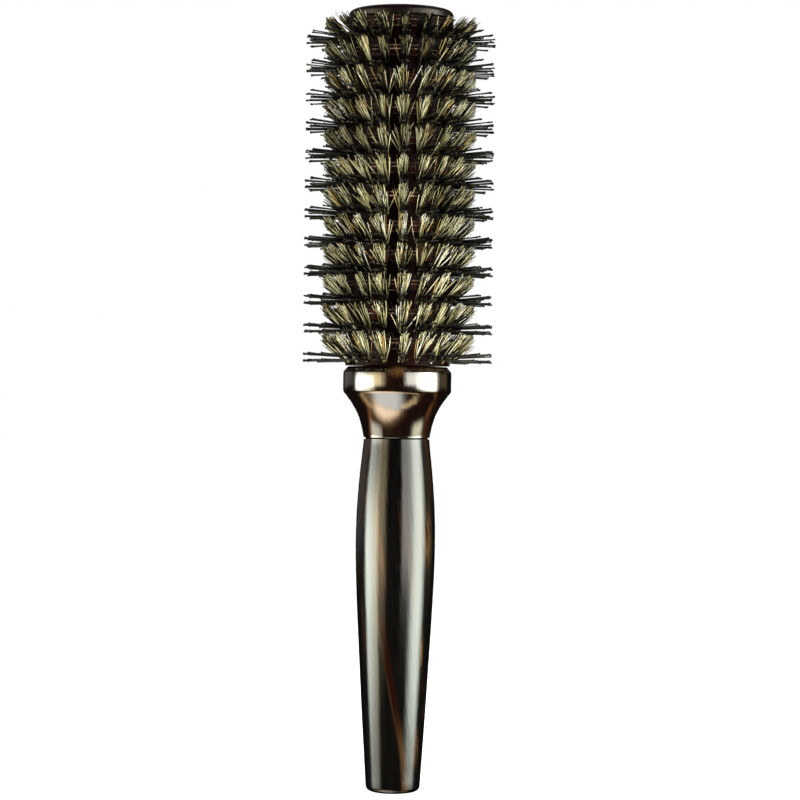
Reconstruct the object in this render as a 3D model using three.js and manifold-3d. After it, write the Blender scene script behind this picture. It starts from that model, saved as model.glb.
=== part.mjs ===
// Round barrel brush: a turned wooden handle, a flared collar and a drilled wooden barrel, joined by a dowel.
// Every hole in the barrel holds straight nylon quills, and boar bristle that leans towards the barrel's end.
// Millimetres, +Z up along the brush's axis, origin at the middle of the handle's flat butt.
import * as THREE from "three";
import { mergeVertices } from "three/addons/utils/BufferGeometryUtils.js";
import Module from "manifold-3d";

const wasm = await Module();
wasm.setup();

// ---------------------------------------------------------------- driving dimensions
const LENGTH = 246; // butt to barrel end
const BARREL_R = 16.5; // the 33 mm barrel that gives the brush its size
const BORE_R = 12.6; // hollow of the barrel
const ROWS = 20; // tuft rows round the barrel
const RINGS = 12; // tufts along each row
const RING_PITCH = 9.1;
const FIRST_RING_Z = 136.1;
const GAP = 0.3; // clearance between pieces that are glued or rest on each other

const SEAM_Z = 111.3; // joint between handle and collar
const SEAM_BEVEL = 0.4; // broken edges that leave a fine groove at the joint
const NECK_R = 10.4;
const COLLAR_TOP_Z = 133.8;
const COLLAR_R = 17.1;
const CAP_THICKNESS = 3;

const DOWEL_R = 5;
const DOWEL_BOTTOM_Z = 72;
const DOWEL_TOP_Z = 160;

const HOLE_R = 1.6; // drilled tuft hole, to its corners
const HOLE_SIDES = 6;
const LEAVE_R = BARREL_R + 0.3; // where a tuft starts to spread
const TUFT_HALF_HEIGHT = 1.1; // both fibres of a tuft inside the hole, along the axis
const FIBRE_GAP = 0.3; // between the quills and the boar, along the axis inside the hole
const QUILL_TIP_R = 30;
const BOAR_TIP_R = 24;
const WIRE_INNER_R = 11.4; // drawing wire behind the holes
const WIRE_OUTER_R = 12.2;

const ROUND_SIDES = 32;
const LAST_RING_Z = FIRST_RING_Z + (RINGS - 1) * RING_PITCH;
const ROW_ANGLE = (2 * Math.PI) / ROWS;
const CAP_Z = LENGTH - CAP_THICKNESS;
const PEG_BOTTOM_Z = CAP_Z - 9; // foot of the end cap's peg

// ---------------------------------------------------------------- materials
const finish = (color, roughness, metalness = 0) =>
  new THREE.MeshStandardMaterial({ color, roughness, metalness });
const lacqueredWood = finish(0x2a1c14, 0.22);
const barrelWood = finish(0x3a1a12, 0.35);
const blackLacquer = finish(0x0d0c0c, 0.25);
const paleWood = finish(0xb58a5a, 0.7);
const boarBristle = finish(0x8c8250, 0.55);
const blackNylon = finish(0x131313, 0.35);

// ---------------------------------------------------------------- shared shapes
const at = (r, z) => new THREE.Vector2(r, z);

// Turns a profile of (radius, height) points round the brush's axis.
function turned(profile, sides, startAngle = 0) {
  return new THREE.LatheGeometry(profile, sides, startAngle).rotateX(Math.PI / 2);
}

// Points of a quarter-circle edge from angle a to angle b about (r, z).
function edgeArc(r, z, radius, a, b, steps) {
  const points = [];
  for (let i = 0; i <= steps; i++) {
    const t = a + ((b - a) * i) / steps;
    points.push(at(r + radius * Math.cos(t), z + radius * Math.sin(t)));
  }
  return points;
}

function solidOf(geometry) {
  const bare = geometry.index ? geometry.toNonIndexed() : geometry.clone();
  bare.deleteAttribute("normal");
  bare.deleteAttribute("uv");
  const merged = mergeVertices(bare, 1e-4);
  return new wasm.Manifold(
    new wasm.Mesh({
      numProp: 3,
      vertProperties: merged.attributes.position.array,
      triVerts: new Uint32Array(merged.index.array),
    }),
  );
}

function geometryOf(solid) {
  const mesh = solid.getMesh();
  const geometry = new THREE.BufferGeometry();
  geometry.setAttribute("position", new THREE.BufferAttribute(mesh.vertProperties, 3));
  geometry.setIndex(new THREE.BufferAttribute(mesh.triVerts, 1));
  geometry.computeVertexNormals();
  return geometry;
}

const brush = new THREE.Group();

function add(name, geometry, material) {
  const mesh = new THREE.Mesh(geometry, material);
  mesh.name = name;
  brush.add(mesh);
  return mesh;
}

// ---------------------------------------------------------------- handle
// Swells from the butt to the palm and necks in again under the collar; a blind bore takes the dowel.
function handleGeometry() {
  const buttR = 8.6;
  const edgeR = 1.8;
  const topZ = SEAM_Z - GAP / 2;
  const swell = new THREE.SplineCurve([
    at(buttR, edgeR),
    at(9.9, 22),
    at(11.35, 47),
    at(12.5, 71),
    at(12.45, 84),
    at(11.95, 96),
    at(11.05, 104),
    at(NECK_R, topZ - SEAM_BEVEL),
  ]);
  const boreR = DOWEL_R + GAP;
  const boreZ = DOWEL_BOTTOM_Z - GAP;
  return turned(
    [
      at(0, 0),
      ...edgeArc(buttR - edgeR, edgeR, edgeR, -Math.PI / 2, 0, 3),
      ...swell.getPoints(12).slice(1),
      at(NECK_R - SEAM_BEVEL, topZ),
      at(boreR, topZ),
      at(boreR, boreZ),
      at(0, boreZ),
    ],
    ROUND_SIDES,
  );
}

// ---------------------------------------------------------------- collar
// Flares out of the handle's neck into a straight band that the barrel stands on.
function collarGeometry() {
  const bottomZ = SEAM_Z + GAP / 2;
  const bandBottomZ = 125.8;
  const bandTopZ = 131.6;
  const chamfer = 1.4;
  const flare = new THREE.SplineCurve([
    at(NECK_R + 0.1, bottomZ + SEAM_BEVEL),
    at(11.1, 114.6),
    at(12.3, 118.6),
    at(14.2, 121.9),
    at(15.6, 124),
    at(COLLAR_R, bandBottomZ),
  ]);
  const boreR = DOWEL_R + GAP;
  return turned(
    [
      at(boreR, bottomZ),
      at(NECK_R - SEAM_BEVEL, bottomZ),
      ...flare.getPoints(8),
      at(COLLAR_R, bandTopZ),
      at(COLLAR_R - chamfer, COLLAR_TOP_Z),
      at(boreR, COLLAR_TOP_Z),
      at(boreR, bottomZ),
    ],
    ROUND_SIDES,
  );
}

// ---------------------------------------------------------------- barrel
// A wooden tube with one flat for each tuft row, drilled through for every tuft.
function barrelGeometry() {
  const bottomZ = COLLAR_TOP_Z + GAP;
  const topZ = CAP_Z - GAP;
  const tube = turned(
    [
      at(BORE_R, bottomZ),
      at(BARREL_R, bottomZ),
      at(BARREL_R, topZ),
      at(BORE_R, topZ),
      at(BORE_R, bottomZ),
    ],
    ROWS,
    ROW_ANGLE / 2,
  );
  const wall = BARREL_R - BORE_R;
  const drill = new THREE.CylinderGeometry(HOLE_R, HOLE_R, wall + 2, HOLE_SIDES)
    .rotateZ(Math.PI / 2)
    .translate(BORE_R + wall / 2, 0, 0);
  let barrel = solidOf(tube);
  for (let row = 0; row < ROWS; row++) {
    for (let ring = 0; ring < RINGS; ring++) {
      const hole = drill.clone().translate(0, 0, FIRST_RING_Z + ring * RING_PITCH);
      barrel = barrel.subtract(solidOf(hole.rotateZ(row * ROW_ANGLE)));
    }
  }
  return geometryOf(barrel);
}

// Spool inside the barrel: a land at each end centres the tube, and the waist between leaves room for
// the drawing wires. The dowel enters it from below and the end cap's peg from above.
function coreGeometry() {
  const landR = BORE_R - GAP;
  const waistR = WIRE_INNER_R - GAP;
  const bottomZ = COLLAR_TOP_Z + GAP;
  const topZ = CAP_Z - GAP;
  const waistLowZ = FIRST_RING_Z - TUFT_HALF_HEIGHT - GAP;
  const waistHighZ = LAST_RING_Z + TUFT_HALF_HEIGHT + GAP;
  const boreR = DOWEL_R + GAP;
  return turned(
    [
      at(0, DOWEL_TOP_Z + GAP),
      at(boreR, DOWEL_TOP_Z + GAP),
      at(boreR, bottomZ),
      at(landR, bottomZ),
      at(landR, waistLowZ),
      at(waistR, waistLowZ),
      at(waistR, waistHighZ),
      at(landR, waistHighZ),
      at(landR, topZ),
      at(boreR, topZ),
      at(boreR, PEG_BOTTOM_Z - GAP),
      at(0, PEG_BOTTOM_Z - GAP),
    ],
    ROWS,
    ROW_ANGLE / 2,
  );
}

// Disc that closes the barrel, flush with the wood, on a peg glued into the core.
function endCapGeometry() {
  const edgeR = 1.6;
  return turned(
    [
      at(0, PEG_BOTTOM_Z),
      at(DOWEL_R, PEG_BOTTOM_Z),
      at(DOWEL_R, CAP_Z),
      at(BARREL_R, CAP_Z),
      ...edgeArc(BARREL_R - edgeR, LENGTH - edgeR, edgeR, 0, Math.PI / 2, 3),
      at(0, LENGTH),
    ],
    ROUND_SIDES,
  );
}

function dowelGeometry() {
  return turned(
    [
      at(0, DOWEL_BOTTOM_Z),
      at(DOWEL_R, DOWEL_BOTTOM_Z),
      at(DOWEL_R, DOWEL_TOP_Z),
      at(0, DOWEL_TOP_Z),
    ],
    16,
  );
}

// ---------------------------------------------------------------- tuft rows
// Nylon quills of one hole in profile, (radius, height above the hole's middle): nearly straight out.
const quillFan = [
  at(LEAVE_R, -TUFT_HALF_HEIGHT),
  at(QUILL_TIP_R, -1),
  at(QUILL_TIP_R, 2),
  at(LEAVE_R, -FIBRE_GAP / 2),
];

// Boar bristle of one hole: shorter than the quills, leaning towards the barrel's end.
const boarFan = [
  at(LEAVE_R, FIBRE_GAP / 2),
  at(BOAR_TIP_R, 5.6),
  at(BOAR_TIP_R - 1.8, 7.6),
  at(LEAVE_R, TUFT_HALF_HEIGHT),
];

// One row in profile: a fan out of every hole, all on the drawing wire that runs behind the holes.
function rowOutline(fan) {
  const rootLow = fan[0].y;
  const rootHigh = fan[fan.length - 1].y;
  const tooth = [at(WIRE_OUTER_R, rootLow), ...fan, at(WIRE_OUTER_R, rootHigh)];
  const outline = [at(WIRE_INNER_R, FIRST_RING_Z + rootLow)];
  for (let ring = 0; ring < RINGS; ring++) {
    const z = FIRST_RING_Z + ring * RING_PITCH;
    outline.push(...tooth.map((point) => at(point.x, point.y + z)));
  }
  outline.push(at(WIRE_INNER_R, LAST_RING_Z + rootHigh));
  return new THREE.Shape(outline);
}

// Extrudes the row. Inside the barrel it is thin and keeps to one side of the hole, so that both fibres'
// wires pass; outside it fans out evenly, up to tipHalfWidth at tipR.
function rowGeometry(fan, side, tipR, tipHalfWidth) {
  const rootOffset = 0.38;
  const rootHalfWidth = 0.26;
  const slab = new THREE.ExtrudeGeometry(rowOutline(fan), { depth: 2, bevelEnabled: false })
    .translate(0, 0, -1)
    .rotateX(Math.PI / 2);
  const position = slab.getAttribute("position");
  for (let i = 0; i < position.count; i++) {
    const spread = Math.max(0, (position.getX(i) - LEAVE_R) / (tipR - LEAVE_R));
    const middle = side * rootOffset * (1 - spread);
    const halfWidth = THREE.MathUtils.lerp(rootHalfWidth, tipHalfWidth, spread);
    position.setY(i, middle + Math.sign(position.getY(i)) * halfWidth);
  }
  slab.computeVertexNormals();
  return slab;
}

// ---------------------------------------------------------------- assembly
add("handle", handleGeometry(), lacqueredWood);
add("collar", collarGeometry(), lacqueredWood);
add("barrel", barrelGeometry(), barrelWood);
add("barrel_core", coreGeometry(), paleWood);
add("end_cap", endCapGeometry(), blackLacquer);
add("dowel", dowelGeometry(), paleWood);

const quillRow = rowGeometry(quillFan, -1, QUILL_TIP_R, 1.3);
const boarRow = rowGeometry(boarFan, 1, BOAR_TIP_R, 1.4);
for (let row = 0; row < ROWS; row++) {
  const number = String(row + 1).padStart(2, "0");
  add(`quill_row_${number}`, quillRow, blackNylon).rotation.z = row * ROW_ANGLE;
  add(`boar_row_${number}`, boarRow, boarBristle).rotation.z = row * ROW_ANGLE;
}

export default brush;
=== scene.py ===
"""Round barrel brush: lacquered turned wood and a drilled barrel with tufts of nylon quills and boar bristle.

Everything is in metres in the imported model's frame: +Z along the brush, the origin at the handle's flat end.
The tufts stand in 20 rows of 12. Row 1 points along +X and the rows follow each other anticlockwise.
"""

import math

import bmesh
import bpy
import numpy as np
from mathutils import Matrix, Vector


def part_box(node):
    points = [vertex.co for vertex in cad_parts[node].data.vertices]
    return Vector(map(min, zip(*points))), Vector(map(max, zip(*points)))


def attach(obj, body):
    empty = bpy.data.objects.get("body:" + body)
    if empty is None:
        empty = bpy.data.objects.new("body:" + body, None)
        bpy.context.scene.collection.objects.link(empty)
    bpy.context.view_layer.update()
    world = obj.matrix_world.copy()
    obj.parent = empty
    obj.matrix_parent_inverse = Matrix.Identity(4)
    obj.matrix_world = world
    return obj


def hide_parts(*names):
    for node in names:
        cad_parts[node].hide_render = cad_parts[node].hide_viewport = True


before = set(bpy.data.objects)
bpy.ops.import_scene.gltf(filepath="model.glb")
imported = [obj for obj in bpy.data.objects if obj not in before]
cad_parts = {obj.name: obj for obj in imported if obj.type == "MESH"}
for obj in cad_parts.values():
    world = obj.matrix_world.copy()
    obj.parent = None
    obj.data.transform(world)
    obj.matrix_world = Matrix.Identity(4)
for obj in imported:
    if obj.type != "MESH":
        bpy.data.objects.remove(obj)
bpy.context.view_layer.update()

MM = 0.001
ROWS = 20
RINGS = 12
ROW_ANGLE = 2 * math.pi / ROWS

# ------------------------------------------------------------------ sizes taken from the frame
HANDLE_LOW, HANDLE_HIGH = (corner[2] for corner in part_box("handle"))
COLLAR_LOW, COLLAR_HIGH = (corner[2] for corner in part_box("collar"))
CAP_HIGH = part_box("end_cap")[1][2]
BARREL_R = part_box("end_cap")[1][0]
BARREL_LOW, BARREL_HIGH = (corner[2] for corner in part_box("barrel"))
QUILL_TIP_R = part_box("quill_row_01")[1][0]
BOAR_TIP_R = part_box("boar_row_01")[1][0]
FIRST_RING_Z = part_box("quill_row_01")[0][2] + 1.1 * MM  # a quill fan starts 1.1 mm below its hole's middle
LAST_RING_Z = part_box("quill_row_01")[1][2] - 2.0 * MM  # and its tips reach 2 mm above it
RING_PITCH = (LAST_RING_Z - FIRST_RING_Z) / (RINGS - 1)
HOLE_R = 1.35 * MM
HOLE_DEPTH = 3 * MM
CHANNEL = 3.4 * MM  # width of the shallow channel turned between two rings
CHANNEL_DEPTH = 0.35 * MM
RIDGE_UP = 0.4 * MM  # a low ridge stands in the channel, this far above its middle


# ------------------------------------------------------------------ node helpers
def adder(tree):
    """A function that adds a shader node to the tree, with its inputs set or linked."""
    def add(kind, inputs=(), **settings):
        node = tree.nodes.new("ShaderNode" + kind)
        for key, value in settings.items():
            setattr(node, key, value)
        for socket, value in dict(inputs).items():
            if isinstance(value, bpy.types.NodeSocket):
                tree.links.new(value, node.inputs[socket])
            else:
                node.inputs[socket].default_value = value
        return node

    return add


def new_material(name):
    """A material with one Principled shader, and its tree, shader and a function that adds a node to it."""
    mat = bpy.data.materials.new(name)
    mat.use_nodes = True
    tree = mat.node_tree
    return mat, tree, tree.nodes["Principled BSDF"], adder(tree)


def ramp(add, fac, stops, ease="EASE"):
    """A colour ramp of (position, (r, g, b)) stops."""
    node = add("ValToRGB", {"Fac": fac})
    node.color_ramp.interpolation = ease
    elements = node.color_ramp.elements
    while len(elements) < len(stops):
        elements.new(0.5)
    for element, (position, colour) in zip(elements, stops):
        element.position = position
        element.color = (*colour, 1)
    return node.outputs["Color"]


def span(add, value, start, end, low, high):
    """A smooth step from low, where the value is start, to high, where it is end."""
    limits = {"Value": value, "From Min": start, "From Max": end, "To Min": low, "To Max": high}
    return add("MapRange", limits, interpolation_type="SMOOTHSTEP").outputs[0]


def noise(add, place, scale, detail, **more):
    """A noise value from 0 to 1. More of the noise node's inputs can be set by name."""
    return add("TexNoise", {"Vector": place, "Scale": scale, "Detail": detail, **more}).outputs["Fac"]


def calculator(add):
    """A function that adds a Math node and gives its result."""
    def maths(operation, *values):
        return add("Math", dict(enumerate(values)), operation=operation).outputs[0]

    return maths


def mixed(tree, add, share, under, over):
    """Two colours mixed, with share of the second."""
    node = add("Mix", data_type="RGBA")
    for place, source in ((0, share), (6, under), (7, over)):
        tree.links.new(source, node.inputs[place])
    return node.outputs[2]


# ------------------------------------------------------------------ materials
HEARTWOOD = (0.0075, 0.0019, 0.0009)
HEART_EDGE = (0.015, 0.007, 0.0034)
HANDLE_HEART = (3.7 * MM, -4.4 * MM, 62 * MM)  # (low x, high x, height)
HANDLE_SPOTS = (  # (x, z, half width, half height)
    (9.6 * MM, 80 * MM, 1.7 * MM, 10 * MM),
    (8.0 * MM, 45 * MM, 0.8 * MM, 8 * MM),
    (6.6 * MM, 15 * MM, 1.0 * MM, 8 * MM),
)
COLLAR_SPOTS = (
    (-0.4 * MM, 132.6 * MM, 3.6 * MM, 2.6 * MM),
    (10 * MM, 133.1 * MM, 7 * MM, 0.9 * MM),
    (11.3 * MM, 129 * MM, 0.9 * MM, 9 * MM),
)


def lacquered_wood(name, slant, dark, warm, amber, heart=None, spots=(), shift=(0, 0, 0)):
    """Dark wood under clear gloss lacquer. Its grain runs along the brush and drifts sideways by slant per
    unit of height.

    heart is one streak up the front, which swings from one x at height 0 to another at a given height and
    fades out above it: (low x, high x, height). It is amber low down and dark red above, with a paler line
    along its left. Each of the spots is a warm oval patch on the front: (x, z, half width, half height)."""
    mat, tree, shader, add = new_material(name)
    maths = calculator(add)
    place = add("TexCoord").outputs["Object"]
    xyz = add("SeparateXYZ", {0: place})
    x, y, z = (xyz.outputs[axis] for axis in "XYZ")
    across = maths("ADD", x, maths("MULTIPLY", z, slant))
    grain_place = add("CombineXYZ", {"X": across, "Y": y, "Z": z}).outputs[0]
    stretched = add("Mapping", {"Vector": grain_place, "Location": shift, "Scale": (1, 1, 0.07)}).outputs[0]
    broad = noise(add, stretched, 95, 3, Distortion=0.9)
    fine = noise(add, stretched, 900, 4, Roughness=0.65)
    figure = ramp(add, broad, [(0.0, dark), (0.6, dark), (0.72, warm), (0.86, amber)])
    front = span(add, y, -4 * MM, 0.0, 1.0, 0.0)
    if heart is not None:
        low_x, high_x, high_z = heart
        wander = 2.5 * MM  # of the streak to either side, with the grain
        half = 2.4 * MM  # of its width
        off = maths("SUBTRACT", x, span(add, z, 0.0, high_z, low_x, high_x))
        off = maths("ADD", off, maths("MULTIPLY_ADD", broad, 2 * wander, -wander))
        near = span(add, maths("ABSOLUTE", off), 3.0 * MM, 3.8 * MM, 1.0, 0.0)
        share = maths("MULTIPLY", maths("MULTIPLY", near, front),
                      span(add, z, high_z, 1.3 * high_z, 1.0, 0.0))
        section = span(add, off, -half, half, 0.0, 1.0)
        dim = [0.3 * c for c in amber]
        amber_part = ramp(add, section, [(0.05, dark), (0.3, dim), (0.7, dim), (0.95, dark)])
        red_part = ramp(add, section, [(0.0, dark), (0.12, HEART_EDGE), (0.3, HEARTWOOD),
                                       (0.75, HEARTWOOD), (1.0, dark)])
        streak = mixed(tree, add, span(add, z, 0.15 * high_z, 0.45 * high_z, 0.0, 1.0), amber_part, red_part)
        figure = mixed(tree, add, share, figure, streak)
    for spot_x, spot_z, half_width, half_height in spots:
        off_x = maths("DIVIDE", maths("SUBTRACT", x, spot_x), half_width)
        off_z = maths("DIVIDE", maths("SUBTRACT", z, spot_z), half_height)
        off = maths("SQRT", maths("ADD", maths("MULTIPLY", off_x, off_x), maths("MULTIPLY", off_z, off_z)))
        ragged = maths("ADD", off, maths("MULTIPLY_ADD", broad, 2.2, -1.1))
        share = maths("MULTIPLY", span(add, ragged, 0.0, 1.3, 0.85, 0.0), front)
        figure = mixed(tree, add, share, figure, ramp(add, fine, [(0.3, warm), (0.65, amber)]))
    pores = span(add, fine, 0.35, 0.7, 0.6, 1.15)
    shaded = add("VectorMath", {0: figure, 1: pores}, operation="MULTIPLY").outputs[0]
    tree.links.new(shaded, shader.inputs["Base Color"])
    bump = add("Bump", {"Height": fine, "Strength": 0.2, "Distance": 0.0002}).outputs[0]
    tree.links.new(bump, shader.inputs["Normal"])
    tree.links.new(bump, shader.inputs["Coat Normal"])
    shader.inputs["Roughness"].default_value = 0.5
    shader.inputs["Specular IOR Level"].default_value = 0.03
    shader.inputs["Coat Weight"].default_value = 1.0
    shader.inputs["Coat Roughness"].default_value = 0.06
    shader.inputs["Coat IOR"].default_value = 1.55
    return mat


def handle_lacquer():
    """The handle's wood, with a streak of heartwood and warm spots on its front."""
    return lacquered_wood("lacquered_wood", 0.11, (0.0020, 0.0017, 0.0015), (0.045, 0.016, 0.007),
                          (0.12, 0.063, 0.02), heart=HANDLE_HEART, spots=HANDLE_SPOTS, shift=(0.013, 0, 0))


def collar_lacquer():
    """The same wood under a thicker, warmer coat, which also shines within."""
    mat = lacquered_wood("collar_lacquer", 0.05, (0.0055, 0.002, 0.0012), (0.06, 0.022, 0.007),
                         (0.12, 0.052, 0.016), spots=COLLAR_SPOTS, shift=(0.02, 0.01, 0))
    shader = mat.node_tree.nodes["Principled BSDF"]
    shader.inputs["Coat IOR"].default_value = 2.1
    shader.inputs["Roughness"].default_value = 0.15
    shader.inputs["Specular IOR Level"].default_value = 1.0
    shader.inputs["Specular Tint"].default_value = (1.0, 0.87, 0.72, 1)
    return mat


def barrel_lacquer():
    """Almost black red-brown wood, with its grain along the barrel. The channels are redder, and painted
    highlights run as broken pale lines along their edges and ridges."""
    mat, tree, shader, add = new_material("barrel_lacquer")
    maths = calculator(add)
    place = add("TexCoord").outputs["Object"]
    z = add("SeparateXYZ", {0: place}).outputs["Z"]
    stretched = add("Mapping", {"Vector": place, "Scale": (1, 1, 0.09)}).outputs[0]
    broad = noise(add, stretched, 160, 3, Distortion=0.5)
    fine = noise(add, stretched, 1100, 4, Roughness=0.6)
    figure = ramp(add, broad, [(0.35, (0.0015, 0.0006, 0.0005)), (0.55, (0.006, 0.002, 0.0015)),
                               (0.75, (0.02, 0.006, 0.004))])
    red = ramp(add, broad, [(0.35, (0.006, 0.0015, 0.0012)), (0.7, (0.045, 0.014, 0.009))])
    phase = maths("FLOORED_MODULO", maths("SUBTRACT", z, FIRST_RING_Z), RING_PITCH)
    above = maths("SUBTRACT", phase, RING_PITCH / 2)
    off = maths("ABSOLUTE", above)
    in_channel = span(add, off, CHANNEL / 2 - 0.1 * MM, CHANNEL / 2 + 0.1 * MM, 1.0, 0.0)
    figure = mixed(tree, add, in_channel, figure, red)
    from_edge = maths("ABSOLUTE", maths("SUBTRACT", off, CHANNEL / 2 - CHANNEL_DEPTH / 2))
    from_ridge = maths("ABSOLUTE", maths("SUBTRACT", above, RIDGE_UP))
    # painted highlights: pale lines where the channel's edges and ridge catch the light, broken up by noise
    edge = maths("MULTIPLY", span(add, from_edge, 0.08 * MM, 0.2 * MM, 1.0, 0.0), 0.4)
    edge = maths("MAXIMUM", edge, span(add, from_ridge, 0.08 * MM, 0.25 * MM, 1.0, 0.0))
    highlight_breaks = span(add, noise(add, place, 420, 2), 0.42, 0.64, 0.1, 1.0)
    painted_highlight = ramp(add, broad, [(0.3, (0.5, 0.32, 0.25)), (0.8, (0.7, 0.5, 0.38))])
    figure = mixed(tree, add, maths("MULTIPLY", edge, highlight_breaks), figure, painted_highlight)
    pores = span(add, fine, 0.35, 0.7, 0.6, 1.2)
    tree.links.new(add("VectorMath", {0: figure, 1: pores}, operation="MULTIPLY").outputs[0],
                   shader.inputs["Base Color"])
    bump = add("Bump", {"Height": fine, "Strength": 0.15, "Distance": 0.0002}).outputs[0]
    tree.links.new(bump, shader.inputs["Normal"])
    shader.inputs["Roughness"].default_value = 0.4
    shader.inputs["Specular IOR Level"].default_value = 0.03
    return mat


def joint_shadow():
    """Matte wood, nearly black with painted shade, deep in the joint between handle and collar."""
    mat, tree, shader, add = new_material("joint_shadow")
    place = add("TexCoord").outputs["Object"]
    cloud = noise(add, place, 700, 3)
    tree.links.new(ramp(add, cloud, [(0.3, (0.002, 0.0015, 0.001)), (0.8, (0.012, 0.007, 0.004))]),
                   shader.inputs["Base Color"])
    shader.inputs["Roughness"].default_value = 0.9
    shader.inputs["Specular IOR Level"].default_value = 0.0
    return mat


def black_lacquer():
    """Opaque satin lacquer, nearly black, with a faint orange-peel surface."""
    mat, tree, shader, add = new_material("black_lacquer")
    place = add("TexCoord").outputs["Object"]
    cloud = noise(add, place, 260, 3)
    tree.links.new(ramp(add, cloud, [(0.3, (0.003, 0.002, 0.0018)), (0.8, (0.012, 0.007, 0.006))]),
                   shader.inputs["Base Color"])
    bump = add("Bump", {"Height": cloud, "Strength": 0.1, "Distance": 0.0003}).outputs[0]
    tree.links.new(bump, shader.inputs["Normal"])
    shader.inputs["Roughness"].default_value = 0.32
    shader.inputs["Specular IOR Level"].default_value = 0.3
    shader.inputs["Specular Tint"].default_value = (1.0, 0.8, 0.74, 1)
    return mat


def plain_wood():
    """Bare turned wood inside the brush."""
    mat, tree, shader, add = new_material("plain_wood")
    place = add("TexCoord").outputs["Object"]
    stretched = add("Mapping", {"Vector": place, "Scale": (1, 1, 0.06)}).outputs[0]
    rings = noise(add, stretched, 380, 4)
    tree.links.new(ramp(add, rings, [(0.3, (0.36, 0.2, 0.09)), (0.75, (0.58, 0.38, 0.2))]),
                   shader.inputs["Base Color"])
    shader.inputs["Roughness"].default_value = 0.7
    return mat


def fibre_material(name, roughness, shine, coat):
    """Bristle or quill. Its colour is painted on the fibres: one shade each, changing from root to tip, with
    painted shade at the bristles' roots.
    """
    mat, tree, shader, add = new_material(name)
    paint = add("Attribute", attribute_name="fibre").outputs["Color"]
    place = add("TexCoord").outputs["Object"]
    speck = noise(add, place, 2600, 2)
    limits = {"Value": speck, "From Min": 0.3, "From Max": 0.7, "To Min": 0.85, "To Max": 1.12}
    level = add("MapRange", limits).outputs[0]
    tree.links.new(add("VectorMath", {0: paint, 1: level}, operation="MULTIPLY").outputs[0],
                   shader.inputs["Base Color"])
    shader.inputs["Roughness"].default_value = roughness
    shader.inputs["Specular IOR Level"].default_value = shine
    shader.inputs["Coat Weight"].default_value = coat
    shader.inputs["Coat Roughness"].default_value = 0.2
    return mat


# ------------------------------------------------------------------ mesh helpers
def new_object(name, verts, faces, mat, sharp_angle=None):
    """A smooth-shaded object. Edges that turn by more than sharp_angle degrees stay sharp, if it is given."""
    mesh = bpy.data.meshes.new(name)
    mesh.from_pydata([tuple(v) for v in verts], [], faces)
    mesh.materials.append(mat)
    mesh.shade_smooth()
    if sharp_angle is not None:
        mesh.set_sharp_from_angle(angle=math.radians(sharp_angle))
    mesh.update()
    obj = bpy.data.objects.new(name, mesh)
    bpy.context.scene.collection.objects.link(obj)
    return obj


def skin_of(node, inner_r):
    """The outer skin of a turned CAD solid as (r, z) points from the bottom up."""
    widest = {}
    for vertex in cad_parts[node].data.vertices:
        r = math.hypot(vertex.co.x, vertex.co.y)
        if r > inner_r:
            z = round(vertex.co.z, 6)
            widest[z] = max(r, widest.get(z, 0))
    return [(r, z) for z, r in sorted(widest.items())]


def faired(points, degree, steps):
    """A polynomial curve r(z) of the given degree, fitted to a skin's points so that reflections run smoothly
    over it."""
    r, z = np.array(points).T
    middle, half = (z[0] + z[-1]) / 2, (z[-1] - z[0]) / 2
    curve = np.polynomial.Polynomial.fit((z - middle) / half, r, degree)
    at = np.linspace(-1, 1, steps + 1)
    return [(float(curve(t)), middle + half * t) for t in at]


def corner_arc(r, z, radius, start, end, steps=8):
    """Points of a rounded edge about (r, z), from one angle to another in degrees."""
    angles = np.radians(np.linspace(start, end, steps + 1))
    return [(r + radius * math.cos(a), z + radius * math.sin(a)) for a in angles]


def turned(name, outline, mat, segments=192):
    """Turns an outline of (r, z) points, from one end face's rim to the other's, and closes both ends."""
    angles = np.linspace(0, 2 * math.pi, segments, endpoint=False)
    verts = [(r * math.cos(a), r * math.sin(a), z) for r, z in outline for a in angles]
    faces = []
    for i in range(len(outline) - 1):
        for j in range(segments):
            k = (j + 1) % segments
            faces.append((i * segments + j, i * segments + k, (i + 1) * segments + k, (i + 1) * segments + j))
    last = (len(outline) - 1) * segments
    faces.append(tuple(reversed(range(segments))))
    faces.append(tuple(range(last, last + segments)))
    return new_object(name, verts, faces, mat, sharp_angle=32)


# ------------------------------------------------------------------ turned wood
DOWEL_SIDE_R = 6 * MM  # anything nearer the axis is the hole for the dowel
RIM = 0.12 * MM  # the softened edges on both sides of the joint between handle and collar
TINY = 0.01 * MM  # how far a CAD point may be from a height or radius and still count as on it


def make_handle(mat):
    """The swelling handle, from the rounded edge of its flat end to the joint."""
    edge = 1.8 * MM
    body = [(r, z) for r, z in skin_of("handle", DOWEL_SIDE_R) if z > HANDLE_LOW + edge - TINY]
    neck_r, neck_z = body[-2]
    swell = faired(body[:-1], 6, 60)
    outline = corner_arc(swell[0][0] - edge, HANDLE_LOW + edge, edge, -90, 0)[:-1] + swell[:-1]
    outline += [(neck_r, neck_z), (neck_r, HANDLE_HIGH - RIM), (neck_r - RIM, HANDLE_HIGH)]
    handle = turned("handle_wood", outline, mat)
    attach(handle, "root")
    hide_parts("handle")


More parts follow.
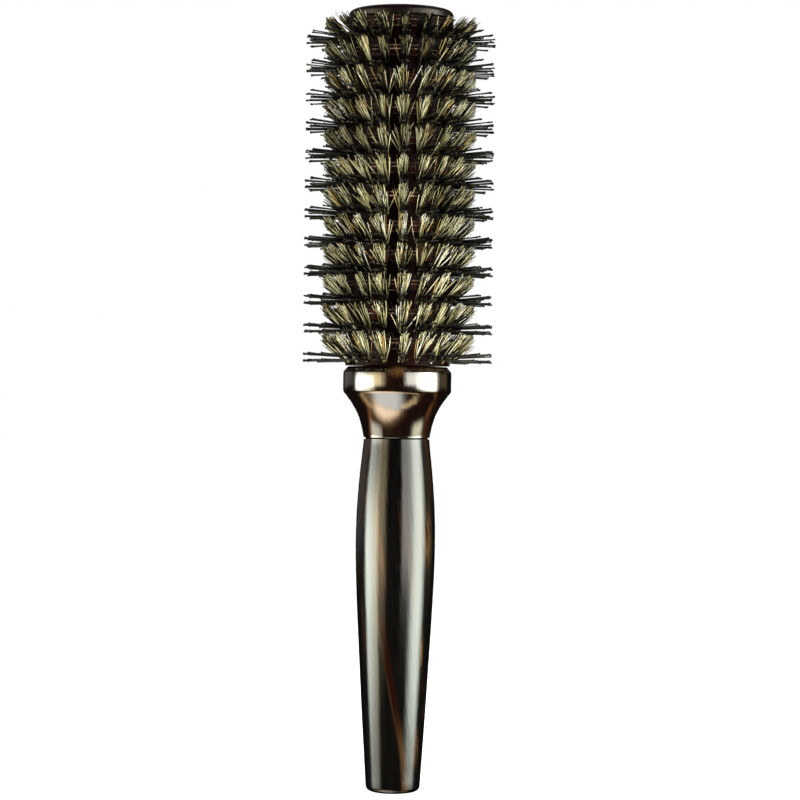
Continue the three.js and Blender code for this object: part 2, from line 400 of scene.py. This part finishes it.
def make_collar(mat):
    """Flare, straight band with softened edges, and the chamfer under the barrel."""
    skin = skin_of("collar", DOWEL_SIDE_R)
    band_r = max(r for r, z in skin)
    band = [z for r, z in skin if r > band_r - TINY]
    band_low, band_high = band[0], band[-1]
    flare = faired([(r, z) for r, z in skin[1:] if z < band_low + TINY], 4, 40)
    neck_r = flare[0][0]
    top_r = skin[-1][0]
    outline = [(neck_r - RIM, COLLAR_LOW), (neck_r, COLLAR_LOW + RIM)] + flare[1:-1]
    outline += [(band_r - 0.12 * MM, band_low + 0.02 * MM), (band_r, band_low + 0.35 * MM),
                (band_r, band_high + 0.3 * MM), (band_r - 0.08 * MM, band_high + 0.6 * MM),
                (band_r - 0.5 * MM, band_high + 1.2 * MM)]
    outline += [(top_r + 0.25 * MM, COLLAR_HIGH - 0.25 * MM), (top_r, COLLAR_HIGH)]
    collar = turned("collar_wood", outline, mat)
    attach(collar, "root")
    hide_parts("collar")


def make_joint_ring(mat):
    """A ring of matte wood, dark with painted shade, that closes the view through the joint between handle and
    collar.
    """
    ring_r = min(r for r, z in skin_of("collar", DOWEL_SIDE_R)) - 0.13 * MM
    overlap = 0.03 * MM
    ring = turned("joint_ring", [(ring_r, HANDLE_HIGH - overlap), (ring_r, COLLAR_LOW + overlap)], mat)
    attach(ring, "root")


def make_end_cap(mat):
    """The black disc on the barrel's end, with a rounded edge above and a fine bevel below."""
    edge = 1.5 * MM
    bevel = 0.25 * MM
    low = BARREL_HIGH + 0.3 * MM
    outline = [(BARREL_R - bevel, low), (BARREL_R, low + bevel)]
    outline += corner_arc(BARREL_R - edge, CAP_HIGH - edge, edge, 0, 90)
    cap = turned("end_cap_disc", outline, mat)
    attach(cap, "root")
    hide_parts("end_cap")


def on_barrel(angle, z, r=BARREL_R):
    """A point on the barrel's outside, or on a cylinder of another radius."""
    return (r * math.cos(angle), r * math.sin(angle), z)


def drilled_cell(verts, faces, middle, z, low, high):
    """A patch of barrel one row wide, from low to high, round the tuft hole at height z. It returns the
    shares of the half width at which its upper and lower borders have a vertex."""
    sides = 16  # of the hole; also the points round the patch's border
    start = len(verts)
    for i in range(sides):
        a = 2 * math.pi * i / sides
        x, y = math.cos(a), math.sin(a)
        stretch = 1 / max(abs(x), abs(y))
        border_z = z + y * stretch * (high - z if y > 0 else z - low)
        verts.append(on_barrel(middle + x * stretch * ROW_ANGLE / 2, border_z))
        turn, rise = HOLE_R * x / BARREL_R, HOLE_R * y
        verts.append(on_barrel(middle + turn, z + rise))
        verts.append(on_barrel(middle + turn, z + rise, BARREL_R - HOLE_DEPTH))
    for i in range(sides):
        a, b = start + 3 * i, start + 3 * ((i + 1) % sides)
        faces += [(a, b, b + 1, a + 1), (a + 1, b + 1, b + 2, a + 2)]
    faces.append(tuple(start + 3 * i + 2 for i in range(sides)))
    between = math.tan(2 * math.pi / sides)
    return [-1.0, -between, 0.0, between, 1.0]


def channel_strip(verts, faces, middle, z, shares):
    """One row's width of the shallow turned channel at height z."""
    half = CHANNEL / 2
    flank = 0.25 * MM
    section = [(-half, 0), (CHANNEL_DEPTH - half, CHANNEL_DEPTH), (RIDGE_UP - flank, CHANNEL_DEPTH),
               (RIDGE_UP, CHANNEL_DEPTH - 0.2 * MM), (RIDGE_UP + flank, CHANNEL_DEPTH),
               (half - CHANNEL_DEPTH, CHANNEL_DEPTH), (half, 0)]
    start = len(verts)
    for rise, depth in section:
        verts += [on_barrel(middle + x * ROW_ANGLE / 2, z + rise, BARREL_R - depth) for x in shares]
    wide = len(shares)
    for i in range(len(section) - 1):
        for j in range(wide - 1):
            a = start + i * wide + j
            faces.append((a, a + 1, a + wide + 1, a + wide))


def make_barrel(mat):
    """A round tube drilled for every tuft, with a shallow turned channel between each two rings of holes."""
    verts, faces = [], []
    for row in range(ROWS):
        middle = row * ROW_ANGLE
        for ring in range(RINGS):
            z = FIRST_RING_Z + ring * RING_PITCH
            reach = (RING_PITCH - CHANNEL) / 2
            low = BARREL_LOW if ring == 0 else z - reach
            high = BARREL_HIGH if ring == RINGS - 1 else z + reach
            shares = drilled_cell(verts, faces, middle, z, low, high)
            if ring < RINGS - 1:
                channel_strip(verts, faces, middle, z + RING_PITCH / 2, shares)
    barrel = new_object("barrel_wood", verts, faces, mat)
    mesh = barrel.data
    bm = bmesh.new()
    bm.from_mesh(mesh)
    bmesh.ops.remove_doubles(bm, verts=bm.verts, dist=1e-6)
    bmesh.ops.holes_fill(bm, edges=[e for e in bm.edges if e.is_boundary], sides=0)
    bmesh.ops.recalc_face_normals(bm, faces=bm.faces)
    bm.to_mesh(mesh)
    bm.free()
    mesh.shade_smooth()
    mesh.set_sharp_from_angle(angle=math.radians(30))
    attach(barrel, "root")
    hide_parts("barrel")


# ------------------------------------------------------------------ tufts
def strands(name, centres, radii, colours, sides, mat):
    """Tubes along centre lines. centres is (fibres, rings, 3), and each ring has a radius and a colour."""
    count, rings, _ = centres.shape
    along = centres[:, -1] - centres[:, 0]
    along /= np.linalg.norm(along, axis=1, keepdims=True)
    across = np.cross(along, np.array([0.31, 0.17, 0.93]))
    across /= np.linalg.norm(across, axis=1, keepdims=True)
    beside = np.cross(along, across)
    turn = 2 * math.pi * np.arange(sides) / sides
    spoke = np.cos(turn)[:, None] * across[:, None] + np.sin(turn)[:, None] * beside[:, None]
    verts = centres[:, :, None] + radii[:, :, None, None] * spoke[:, None]
    ring = np.arange(rings - 1)[:, None] * sides
    side = np.arange(sides)
    after = (side + 1) % sides
    quads = np.stack([ring + side, ring + after, ring + sides + after, ring + sides + side], axis=-1)
    quads = quads.reshape(-1, 4)
    base = (np.arange(count) * rings * sides)[:, None, None]
    faces = (base + quads).reshape(-1, 4).tolist()
    tips = (base[:, 0] + (rings - 1) * sides + side).tolist()
    roots = (base[:, 0] + side[::-1]).tolist()
    obj = new_object(name, verts.reshape(-1, 3), faces + tips + roots, mat)
    paint = obj.data.color_attributes.new("fibre", "FLOAT_COLOR", "POINT")
    shades = np.repeat(colours.reshape(-1, 3), sides, axis=0)
    rgba = np.concatenate([shades, np.ones((len(shades), 1))], axis=1)
    paint.data.foreach_set("color", rgba.ravel())
    return obj


def tuft_axes(row):
    """Outward and sideways directions of a row, and up."""
    angle = row * ROW_ANGLE
    return (np.array([math.cos(angle), math.sin(angle), 0.0]),
            np.array([-math.sin(angle), math.cos(angle), 0.0]),
            np.array([0.0, 0.0, 1.0]))


BOAR_SHADES = np.array([
    (0.95, 0.895, 0.53),  # pale straw
    (0.42, 0.4, 0.18),  # olive straw
    (0.52, 0.34, 0.10),  # gold
    (0.08, 0.036, 0.016),  # brown
    (0.002, 0.0018, 0.0015),  # black
])
BLACK = 4
LOW_SHARES = (0.34, 0.25, 0.06, 0.07, 0.28)  # of these shades in the lowest ring
HIGH_SHARES = (0.13, 0.2, 0.04, 0.13, 0.5)  # and in the highest
LEAN = 49  # degrees from straight out
LAST_LEAN = 42  # and in the highest ring
LOCK = 0.36 * MM  # bristles of one colour stand together in locks about this wide
LOCKS = 5  # to a tuft
BRISTLES = 56  # to a tuft
STRAYS = 0.5  # the share of them that strays
STRAYS_BLACKENED = 0.5  # the share of the strays that is black whatever their shade would be
OWN_SHADES = 0.6  # the share of a lock's bristles that keep a shade of their own
BOAR_TAPER = np.array([1.0, 1.0, 0.95, 0.85, 0.5])  # of a bristle's radius, from root to tip
# painted shade: bristles are darker towards the root, where the tufts shade each other, and brighter at the
# tip
LIGHT_ROOT_SHADE = [[0.35, 0.5, 0.75, 1.0, 1.2]]  # how bright a bristle's colour is, from root to tip
DEEP_ROOT_SHADE = [[0.03, 0.08, 0.3, 0.95, 1.25]]  # and in most bristles
ROOT_DEPTH = 1.5 * MM  # a fibre starts this far below the barrel's outside


def make_boar_row(row, rng, mat):
    """Natural bristle. Every tuft leans towards the barrel's end. Half of its bristles stand together, many
    of them in narrow locks of one shade, and the others, mostly black, stray to the sides."""
    per_tuft = BRISTLES
    count = per_tuft * RINGS
    out, sideways, up = tuft_axes(row)
    hole = np.repeat(FIRST_RING_Z + np.arange(RINGS) * RING_PITCH, per_tuft)
    turn = rng.uniform(0, 2 * math.pi, count)
    reach = np.sqrt(rng.uniform(0, 1, count))
    root_side = reach * np.cos(turn) * MM
    root_up = (reach * np.sin(turn) * 0.75 - 0.5) * MM
    tuft_lean = np.repeat(rng.normal(0, 1.0, RINGS), per_tuft)
    stray = rng.uniform(0, 1, count) < STRAYS
    droop = np.minimum(rng.exponential(np.where(stray, 4.0, 2.0)), 16)
    usual = np.repeat([LEAN] * (RINGS - 1) + [LAST_LEAN], per_tuft)
    lean = np.radians(usual + tuft_lean + (root_up / MM + 0.5) * 2
                      + np.clip(rng.normal(0, 2.0, count), -4, 3) - droop)
    tuft_turn = np.repeat(rng.normal(0, 1.5, RINGS), per_tuft)
    opening = np.repeat(rng.uniform(0.5, 1.5, RINGS), per_tuft)
    fan = np.where(stray, rng.normal(0, 10, count) + 9 * root_side / MM,
                   opening * (rng.normal(0, 2.4, count) + 3 * root_side / MM))
    fan = np.radians(tuft_turn + fan)
    too_steep = np.maximum(lean - math.radians(LEAN), 0)
    tip_r = BOAR_TIP_R - rng.exponential(0.35, count) * MM - too_steep * 16 * MM
    length = (tip_r - BARREL_R) / np.cos(lean)
    heading = np.cos(lean)[:, None] * out + np.sin(lean)[:, None] * up + np.tan(fan)[:, None] * sideways
    curl = rng.normal(0, 0.16 * MM, (count, 2))
    start = (BARREL_R - ROOT_DEPTH) * out + root_side[:, None] * sideways + (hole + root_up)[:, None] * up
    mouth = start + ROOT_DEPTH * out
    share = np.array([0.0, 0.3, 0.65, 1.0])
    bow = (share * (1 - share) * 4)[None, :, None]
    lines = mouth[:, None] + share[None, :, None] * length[:, None, None] * heading[:, None]
    lines = lines + bow * (curl[:, :1, None] * sideways + curl[:, 1:, None] * up)
    centres = np.concatenate([start[:, None], lines], axis=1)
    thick = rng.uniform(0.14, 0.195, count) * MM
    radii = thick[:, None] * BOAR_TAPER

    middle = LOCKS // 2
    lock = np.clip((root_side / LOCK + LOCKS / 2).astype(int), 0, LOCKS - 1)
    rise = (np.arange(RINGS) / (RINGS - 1))[:, None] ** 6
    odds = np.cumsum((1 - rise) * np.array(LOW_SHARES) + rise * np.array(HIGH_SHARES), axis=1)
    lock_shade = (rng.uniform(0, 1, (RINGS, LOCKS))[:, :, None] > odds[:, None, :-1]).sum(axis=2)
    lock_shade[:-1, middle] = rng.choice(2, size=RINGS - 1, p=(0.7, 0.3))  # a pale lock in the middle
    ring = np.repeat(np.arange(RINGS), per_tuft)
    own = (rng.uniform(0, 1, count)[:, None] > odds[ring, :-1]).sum(axis=1)
    pick = np.where(stray | (rng.uniform(0, 1, count) < OWN_SHADES), own, lock_shade[ring, lock])
    pick = np.where(stray & (rng.uniform(0, 1, count) < STRAYS_BLACKENED), BLACK, pick)
    tuft_tone = np.repeat(np.clip(rng.normal(-0.05, 0.35, RINGS), -1.0, 0.2), per_tuft)
    shade = BOAR_SHADES[pick] * np.exp(rng.normal(0, 0.2, count) + tuft_tone)[:, None]
    # painted shade at the roots: the middle lock's bristles mostly take the lighter one, the others mostly the
    # deeper
    light_shade_odds = np.where(stray, 0.1, np.where(lock == middle, 0.8, 0.3))
    root_shade = np.where((rng.uniform(0, 1, count) < light_shade_odds)[:, None], LIGHT_ROOT_SHADE, DEEP_ROOT_SHADE)
    colours = np.clip(shade[:, None] * root_shade[:, :, None], 0, 0.95)
    bristle = strands(f"boar_bristle_{row + 1:02d}", centres, radii, colours, 3, mat)
    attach(bristle, "root")
    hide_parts(f"boar_row_{row + 1:02d}")


QUILL_PLACES = [(level, side) for level in (-1, 1) for side in (-1, 0, 1)]  # along the brush and round it
# the ball at a quill's tip, as (distance from the tip, radius) in mm
QUILL_BALL = np.array([(0.62, 0.24), (0.5, 0.3), (0.31, 0.32), (0.12, 0.24), (0.0, 0.1)])


def make_quill_row(row, rng, mat):
    """Nylon quills, six to a tuft: three above three, nearly straight out, with a small ball at each tip."""
    per_tuft = len(QUILL_PLACES)
    count = per_tuft * RINGS
    out, sideways, up = tuft_axes(row)
    hole = np.repeat(FIRST_RING_Z + np.arange(RINGS) * RING_PITCH, per_tuft)
    level, side = np.tile(np.array(QUILL_PLACES), (RINGS, 1)).T
    root_up = (level * 0.45 + 0.1 + rng.normal(0, 0.08, count)) * MM
    root_side = (side * 0.6 + rng.normal(0, 0.1, count)) * MM
    tip_up = (0.5 + level * 1.05 + np.clip(rng.normal(0, 0.17, count), -0.4, 0.4)) * MM
    tip_side = (side * 0.95 + np.clip(rng.normal(0, 0.2, count), -0.4, 0.4)) * MM
    tip_r = np.sqrt((QUILL_TIP_R - np.clip(rng.exponential(0.3, count), 0, 1.2) * MM) ** 2 - tip_side**2)
    start = (BARREL_R - ROOT_DEPTH) * out + root_side[:, None] * sideways + (hole + root_up)[:, None] * up
    tip = tip_r[:, None] * out + tip_side[:, None] * sideways + (hole + tip_up)[:, None] * up
    whole = np.linalg.norm(tip - start, axis=1)
    near_tip = 1 - QUILL_BALL[None, :, 0] * MM / whole[:, None]
    stem_shares = np.tile([0.0, 0.5, 0.93], (count, 1))
    share = np.concatenate([stem_shares, near_tip], axis=1)
    bow = rng.normal(0, 0.1 * MM, (count, 2))
    centres = start[:, None] + share[..., None] * (tip - start)[:, None]
    bend = bow[:, :1, None] * sideways + bow[:, 1:, None] * up
    centres = centres + (4 * share * (1 - share))[..., None] * bend
    stem = rng.uniform(0.2, 0.235, (count, 1))
    radii = np.concatenate([stem * [1.0, 1.0, 0.95], np.tile(QUILL_BALL[:, 1], (count, 1))], axis=1) * MM
    tone = rng.uniform(0.001, 0.004, count)
    colours = tone[:, None, None] * np.array([1.0, 0.97, 1.04]) * np.ones((1, radii.shape[1], 1))
    quills = strands(f"nylon_quills_{row + 1:02d}", centres, radii, colours, 8, mat)
    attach(quills, "root")
    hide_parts(f"quill_row_{row + 1:02d}")


# ------------------------------------------------------------------ camera, stage and light
VIEW_DISTANCE = 0.758
VIEW_HEIGHT = 0.12335
VIEW_TURN = math.radians(-3.4)  # round the brush, so that one row of tufts stands just right of the middle
VIEW_ROLL = math.radians(0.66)
SIDE_STEP = 0.95 * MM  # of the camera, to the right
LENS = 108.0  # mm, on a sensor 36 mm wide
LAMP_TINT = (1.0, 0.98, 0.92)
SOFT_GREY = 0.05  # the even light from all round


def around(azimuth, elevation, distance, centre=(0, 0, VIEW_HEIGHT)):
    """A place seen from centre at azimuth degrees right of the camera and elevation degrees up."""
    a = math.radians(azimuth) + VIEW_TURN
    e = math.radians(elevation)
    flat = math.cos(e)
    return Vector(centre) + distance * Vector((math.sin(a) * flat, -math.cos(a) * flat, math.sin(e)))


def make_camera():
    """A long lens level with the brush's middle, rolled a little as the photograph is."""
    data = bpy.data.cameras.new("camera")
    data.lens = LENS
    data.sensor_width = 36.0
    camera = bpy.data.objects.new("camera", data)
    bpy.context.scene.collection.objects.link(camera)
    turn = Matrix.Rotation(VIEW_TURN, 4, "Z")
    place = Matrix.Translation(turn @ Vector((SIDE_STEP, -VIEW_DISTANCE, VIEW_HEIGHT)))
    upright = Matrix.Rotation(math.radians(90), 4, "X")
    camera.matrix_world = place @ turn @ upright @ Matrix.Rotation(VIEW_ROLL, 4, "Z")
    bpy.context.scene.camera = camera


def make_softbox(name, place, aim_height, size, radiance):
    """A square area light that faces the brush's axis. It lights the brush, and reflections are left to the
    world."""
    data = bpy.data.lights.new(name, "AREA")
    data.shape = "RECTANGLE"
    data.size = data.size_y = size
    data.energy = radiance * math.pi * size**2
    data.color = LAMP_TINT
    lamp = bpy.data.objects.new(name, data)
    bpy.context.scene.collection.objects.link(lamp)
    lamp.location = place
    aim = Vector((0, 0, aim_height)) - lamp.location
    lamp.rotation_euler = aim.to_track_quat("-Z", "Y").to_euler()
    lamp.visible_camera = False
    lamp.visible_glossy = False


def make_lights():
    """A reflector low in front of the brush, a lamp above it, two behind and one overhead."""
    make_softbox("reflector", around(0, 0, 0.17, (0, 0, 0.02)), 0.2, 0.12, 22.0)
    make_softbox("front", around(0, -4, 0.5), VIEW_HEIGHT, 0.2, 10.0)
    make_softbox("back_left", around(-130, -4, 0.5), VIEW_HEIGHT, 0.2, 14.0)
    make_softbox("back_right", around(130, -4, 0.5), VIEW_HEIGHT, 0.2, 14.0)
    make_softbox("overhead", around(0, 89, 0.8), VIEW_HEIGHT, 0.4, 8.0)


# What a reflection meets: soft-edged windows of light in a dark room. Each has the azimuths right of the
# camera where it begins, is full, stops being full and ends, the same for its elevations, its radiance and
# its tint. The last four stand behind the brush, for the views from behind and above.
PALE_GREEN = (0.93, 1.0, 0.87)
STRAW = (1.04, 1.0, 0.74)
SIDE_WINDOWS = (
    ((-104, -89, -78, -62), (-17, -7, -4, 17), 14.5, PALE_GREEN),  # left softbox, outer part
    ((-78, -62, -61, -47), (-17, -7, -4, 17), 11.5, STRAW),  # and inner part
    ((-64, -50, -40, -22), (-14, -6, 4, 22), 3.1, (1.15, 0.95, 0.58)),  # its spill
    ((34, 65, 77, 102), (-18, -10, 4, 34), 14.3, PALE_GREEN),  # right softbox
    ((14, 24, 38, 50), (-13, -4, 6, 30), 3.8, (1.0, 1.0, 0.92)),  # its spill
    ((-102, -86, -66, -46), (-30, -19, -16, -12), 2.4, (1.0, 1.0, 0.8)),  # low fill on the left
    ((48, 66, 86, 100), (-33, -20, -19, -15), 2.9, (1.02, 1.0, 0.72)),  # and on the right
    ((-156, -142, -112, -102), (-6, -2, 7, 14), 0.2, (1.0, 0.95, 0.9)),  # grey edge on the left
    ((98, 106, 122, 136), (-9, -4, 4, 12), 0.15, (1.4, 1.0, 0.5)),  # brown edge on the right
    ((173, 178, 181, 182), (-17, -7, 17, 30), 6.0, PALE_GREEN),  # softbox behind, right half
    ((-182, -181, -178, -173), (-17, -7, 17, 30), 6.0, PALE_GREEN),  # and left half
    ((100, 140, 181, 182), (35, 50, 70, 85), 0.6, PALE_GREEN),  # above it, right half
    ((-182, -181, -140, -100), (35, 50, 70, 85), 0.6, PALE_GREEN),  # and left half
)
# Glows on the ground. The first angles are from a middle to the left of straight down, and each glow is also
# limited in elevation and in azimuth.
GLOW_TILT = math.radians(26)
GLOW_AZIMUTH = math.radians(-43)
GROUND_GLOWS = (
    ((-1, 0, 19, 37), (-62, -51, 0, 1), (-108, -68, 170, 180), 3.0, (1.24, 1.0, 0.74)),  # warm upper part
    ((-1, 0, 14, 40), (-91, -90, -62, -52), (-112, -88, 8, 64), 2.7, (0.98, 1.0, 0.98)),  # grey lower part
    ((-1, 0, 28, 47), (-61, -51, -32, -18), (-160, -120, 20, 50), 0.4, (1.6, 1.0, 0.45)),  # brown fringe
    ((-1, 0, 179, 180), (-50, -47, -44, -41), (-130, -118, -100, -84), 0.7, (1.4, 1.0, 0.5)),  # left corner
    ((-1, 0, 179, 180), (-67, -64, -60, -57), (10, 26, 72, 92), 1.5, (1.35, 1.0, 0.55)),  # right band
)
ROOM = 0.006  # radiance of the dark room


def make_world():
    """White to the camera, a soft grey for light, and windows of light in a dark room for reflections."""
    world = bpy.data.worlds.new("world")
    bpy.context.scene.world = world
    world.use_nodes = True
    tree = world.node_tree
    tree.nodes.clear()
    add = adder(tree)
    direction = add("TexCoord").outputs["Generated"]
    turned_back = add("Mapping", {"Vector": direction, "Rotation": (0, 0, -VIEW_TURN)}).outputs[0]
    xyz = add("SeparateXYZ", {0: turned_back})
    ahead = add("Math", {0: xyz.outputs["Y"], 1: -1.0}, operation="MULTIPLY").outputs[0]
    azimuth = add("Math", {0: xyz.outputs["X"], 1: ahead}, operation="ARCTAN2").outputs[0]
    elevation = add("Math", {0: xyz.outputs["Z"]}, operation="ARCSINE").outputs[0]
    sine = math.sin(GLOW_TILT)
    glow_axis = (sine * math.sin(GLOW_AZIMUTH), -sine * math.cos(GLOW_AZIMUTH), -math.cos(GLOW_TILT))
    towards = add("VectorMath", {0: turned_back, 1: glow_axis}, operation="DOT_PRODUCT").outputs["Value"]
    from_glow = add("Math", {0: towards}, operation="ARCCOSINE").outputs[0]

    def between(angle, limits):
        begin, full, wane, end = map(math.radians, limits)
        rise = span(add, angle, begin, full, 0.0, 1.0)
        fall = span(add, angle, wane, end, 1.0, 0.0)
        return add("Math", {0: rise, 1: fall}, operation="MULTIPLY").outputs[0]

    light = (ROOM, ROOM, ROOM)
    windows = [((azimuth, limits), (elevation, heights), radiance, tint)
               for limits, heights, radiance, tint in SIDE_WINDOWS]
    windows += [((from_glow, limits), (elevation, heights), (azimuth, turns), radiance, tint)
                for limits, heights, turns, radiance, tint in GROUND_GLOWS]
    for *limited, radiance, tint in windows:
        shares = [between(angle, limits) for angle, limits in limited]
        share = shares[0]
        for other in shares[1:]:
            share = add("Math", {0: share, 1: other}, operation="MULTIPLY").outputs[0]
        colour = tuple(radiance * t for t in tint)
        light = add("VectorMath", {0: share, 1: colour, 2: light}, operation="MULTIPLY_ADD").outputs[0]

    def background(colour):
        return add("Background", {"Color": colour}).outputs[0]

    path = add("LightPath")
    out = add("OutputWorld")
    soft = background((SOFT_GREY, SOFT_GREY, SOFT_GREY, 1))
    lit = add("MixShader", {0: path.outputs["Is Glossy Ray"], 1: soft, 2: background(light)}).outputs[0]
    shown = add("MixShader", {0: path.outputs["Is Camera Ray"], 1: lit, 2: background((1, 1, 1, 1))})
    tree.links.new(shown.outputs[0], out.inputs["Surface"])


def make_floor():
    """Pale and evenly bright, so that it runs into the white behind it."""
    mat, _, shader, _ = new_material("floor")
    shader.inputs["Base Color"].default_value = (0.9, 0.9, 0.9, 1)
    shader.inputs["Roughness"].default_value = 1.0
    shader.inputs["Specular IOR Level"].default_value = 0.0
    shader.inputs["Emission Color"].default_value = (1, 1, 1, 1)
    shader.inputs["Emission Strength"].default_value = 1.0
    half = 6.0  # m
    floor = new_object("floor", [(-half, -half, 0), (half, -half, 0), (half, half, 0), (-half, half, 0)],
                       [(0, 1, 2, 3)], mat)
    floor.visible_glossy = False
    floor.visible_diffuse = False
    floor.visible_shadow = False


# ------------------------------------------------------------------ assembly
BOAR_SEED = 100
QUILL_SEED = 500


def main():
    """Camera and light, then the brush from its handle to its fibres."""
    bpy.context.scene.view_settings.view_transform = "Standard"
    make_camera()
    make_world()
    make_lights()
    make_floor()

    make_handle(handle_lacquer())
    make_collar(collar_lacquer())
    make_joint_ring(joint_shadow())
    make_barrel(barrel_lacquer())
    make_end_cap(black_lacquer())
    inside = plain_wood()
    for node in ("barrel_core", "dowel"):
        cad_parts[node].data.materials.clear()
        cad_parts[node].data.materials.append(inside)

    boar = fibre_material("boar_bristle", 0.42, 0.28, 0.0)
    nylon = fibre_material("nylon_quill", 0.3, 0.5, 0.15)
    for row in range(ROWS):
        make_boar_row(row, np.random.default_rng(BOAR_SEED + row), boar)
        make_quill_row(row, np.random.default_rng(QUILL_SEED + row), nylon)


main()
